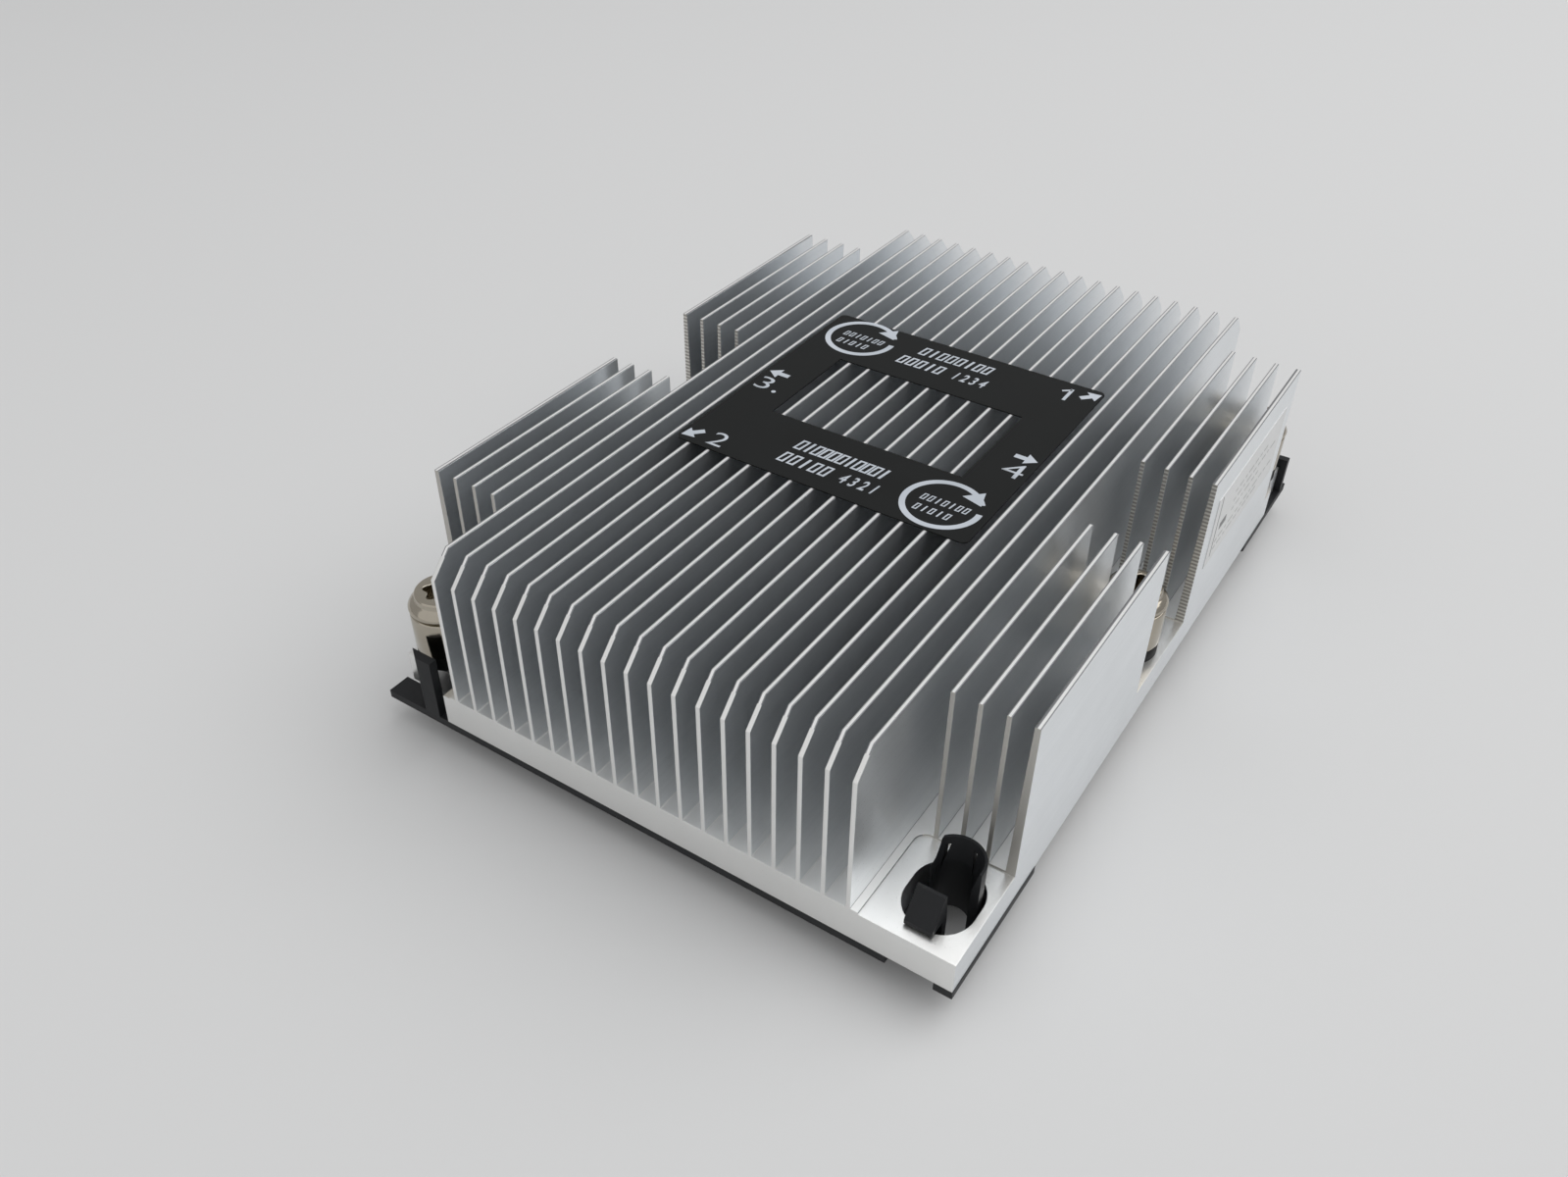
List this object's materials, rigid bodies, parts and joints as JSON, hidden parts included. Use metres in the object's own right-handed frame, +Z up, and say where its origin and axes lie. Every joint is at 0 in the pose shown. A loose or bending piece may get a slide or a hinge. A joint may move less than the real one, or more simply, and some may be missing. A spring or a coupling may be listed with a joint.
{
  "type": "passive server cpu heatsink",
  "caption": "Low finned aluminium heatsink for a server processor, with captive nuts and a black clip under its base that carries the processor.",
  "frame": {"origin": "on the surface that the part stands on, under the middle of the base plate", "axes": "+X across the fins, +Y along the fins towards the back, +Z up, away from the processor"},
  "size_m": [0.0782, 0.108, 0.03],
  "materials": {
    "fin_aluminium": "satin, milled",
    "clip_plastic": "fine moulded grain",
    "nut_nickel": "nickel-plated, turned",
    "washer_plastic": "smooth",
    "ring_steel": "plain spring steel",
    "label_black": "printed film",
    "label_grey": "printed film"
  },
  "bodies": {
    "heatsink": {"finned_heatsink": "fin_aluminium", "carrier_clip": "clip_plastic", "washer_1": "washer_plastic", "washer_2": "washer_plastic", "washer_3": "washer_plastic", "washer_4": "washer_plastic", "instruction_label": "label_black", "side_label": "label_grey"},
    "ring_1": {"retaining_ring_1": "ring_steel"},
    "nut_1": {"captive_nut_1": "nut_nickel"},
    "ring_2": {"retaining_ring_2": "ring_steel"},
    "nut_2": {"captive_nut_2": "nut_nickel"},
    "ring_3": {"retaining_ring_3": "ring_steel"},
    "nut_3": {"captive_nut_3": "nut_nickel"},
    "ring_4": {"retaining_ring_4": "ring_steel"},
    "nut_4": {"captive_nut_4": "nut_nickel"}
  },
  "joints": [
    {"name": "nut_1_lift", "type": "slide", "parent": "heatsink", "child": "ring_1", "axis": [0, 0, 1], "range_m": [0, 0.0012]},
    {"name": "nut_1_turn", "type": "hinge", "parent": "ring_1", "child": "nut_1", "pos_m": [0.03413, 0.04725, 0.0045], "axis": [0, 0, 1], "continuous": true},
    {"name": "nut_2_lift", "type": "slide", "parent": "heatsink", "child": "ring_2", "axis": [0, 0, 1], "range_m": [0, 0.0012]},
    {"name": "nut_2_turn", "type": "hinge", "parent": "ring_2", "child": "nut_2", "pos_m": [-0.03413, -0.04725, 0.0045], "axis": [0, 0, 1], "continuous": true},
    {"name": "nut_3_lift", "type": "slide", "parent": "heatsink", "child": "ring_3", "axis": [0, 0, 1], "range_m": [0, 0.0012]},
    {"name": "nut_3_turn", "type": "hinge", "parent": "ring_3", "child": "nut_3", "pos_m": [-0.03413, 0, 0.0045], "axis": [0, 0, 1], "continuous": true},
    {"name": "nut_4_lift", "type": "slide", "parent": "heatsink", "child": "ring_4", "axis": [0, 0, 1], "range_m": [0, 0.0012]},
    {"name": "nut_4_turn", "type": "hinge", "parent": "ring_4", "child": "nut_4", "pos_m": [0.03413, 0, 0.0045], "axis": [0, 0, 1], "continuous": true}
  ]
}
